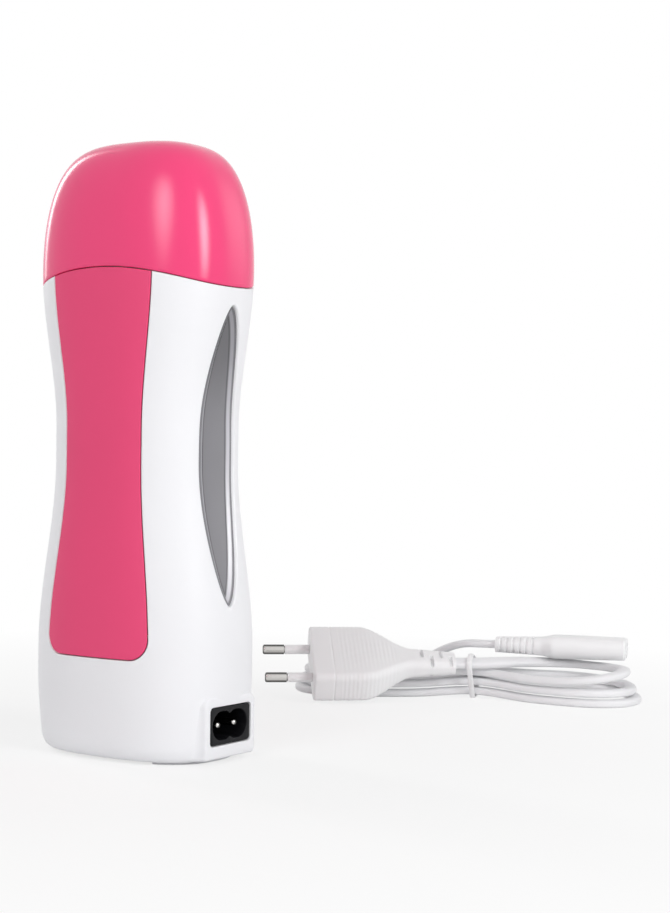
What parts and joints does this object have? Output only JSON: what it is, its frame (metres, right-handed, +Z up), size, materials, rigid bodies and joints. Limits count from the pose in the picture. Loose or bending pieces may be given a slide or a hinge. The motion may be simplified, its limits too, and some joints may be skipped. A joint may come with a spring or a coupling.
{
  "type": "roll-on wax heater",
  "caption": "Upright waisted roll-on wax heater with a push-on dome cap, inlaid grip panels, side windows and a figure-8 inlet, beside its tied mains lead.",
  "frame": {"origin": "centre of the heater's base, on the surface that it stands on", "axes": "+Z up along the heater, +X towards the side with the inlet, -Y towards the front grip panel"},
  "size_m": [0.1381, 0.2505, 0.2022],
  "materials": {
    "cap_plastic": "polished pink",
    "panel_plastic": "satin pink",
    "shell_plastic": "smooth white",
    "lens_plastic": "smoky, part see-through",
    "socket_plastic": "moulded black",
    "cradle_plastic": "moulded grey",
    "sleeve_aluminium": "drawn",
    "heater_ceramic": "fired ceramic, opaque",
    "contact_metal": "nickel plated",
    "pin_metal": "nickel plated",
    "screw_steel": "zinc plated",
    "film_plastic": "amber film",
    "lead_red": "insulated wire",
    "lead_blue": "insulated wire",
    "cord_sheath": "soft white sheath",
    "tie_plastic": "white tie",
    "plug_plastic": "moulded white"
  },
  "bodies": {
    "heater": {"front_shell": "shell_plastic", "rear_shell": "shell_plastic", "front_grip_panel": "panel_plastic", "rear_grip_panel": "panel_plastic", "window_right": "lens_plastic", "window_left": "lens_plastic", "base_cover": "shell_plastic", "base_screw_front": "screw_steel", "base_screw_rear": "screw_steel", "shell_screw_left": "screw_steel", "shell_screw_right": "screw_steel", "cartridge_sleeve": "sleeve_aluminium", "chamber_cradle": "cradle_plastic", "collar": "shell_plastic", "heating_stone_lower": "heater_ceramic", "heating_stone_upper": "heater_ceramic", "contact_plate": "contact_metal", "insulation_film": "film_plastic", "spring_clip": "screw_steel", "thermal_fuse": "contact_metal", "inlet_socket": "socket_plastic", "inlet_pin_front": "pin_metal", "inlet_pin_rear": "pin_metal", "lead_live": "lead_red", "lead_fuse": "lead_red", "lead_neutral": "lead_blue"},
    "cap": {"cap": "cap_plastic"},
    "mains_lead": {"cord_hank": "cord_sheath", "cord_tie": "tie_plastic", "plug_body": "plug_plastic", "plug_pin_near": "pin_metal", "plug_pin_far": "pin_metal", "plug_pin_sleeve_near": "plug_plastic", "plug_pin_sleeve_far": "plug_plastic", "connector_body": "plug_plastic", "connector_contact_near": "contact_metal", "connector_contact_far": "contact_metal"}
  },
  "joints": [
    {"name": "cap_pull", "type": "slide", "parent": "heater", "child": "cap", "axis": [0, 0, 1], "range_m": [0, 0.06]},
    {"name": "mains_lead_lift", "type": "slide", "parent": "heater", "child": "mains_lead", "axis": [0, 0, 1], "range_m": [0, 0.1]}
  ]
}
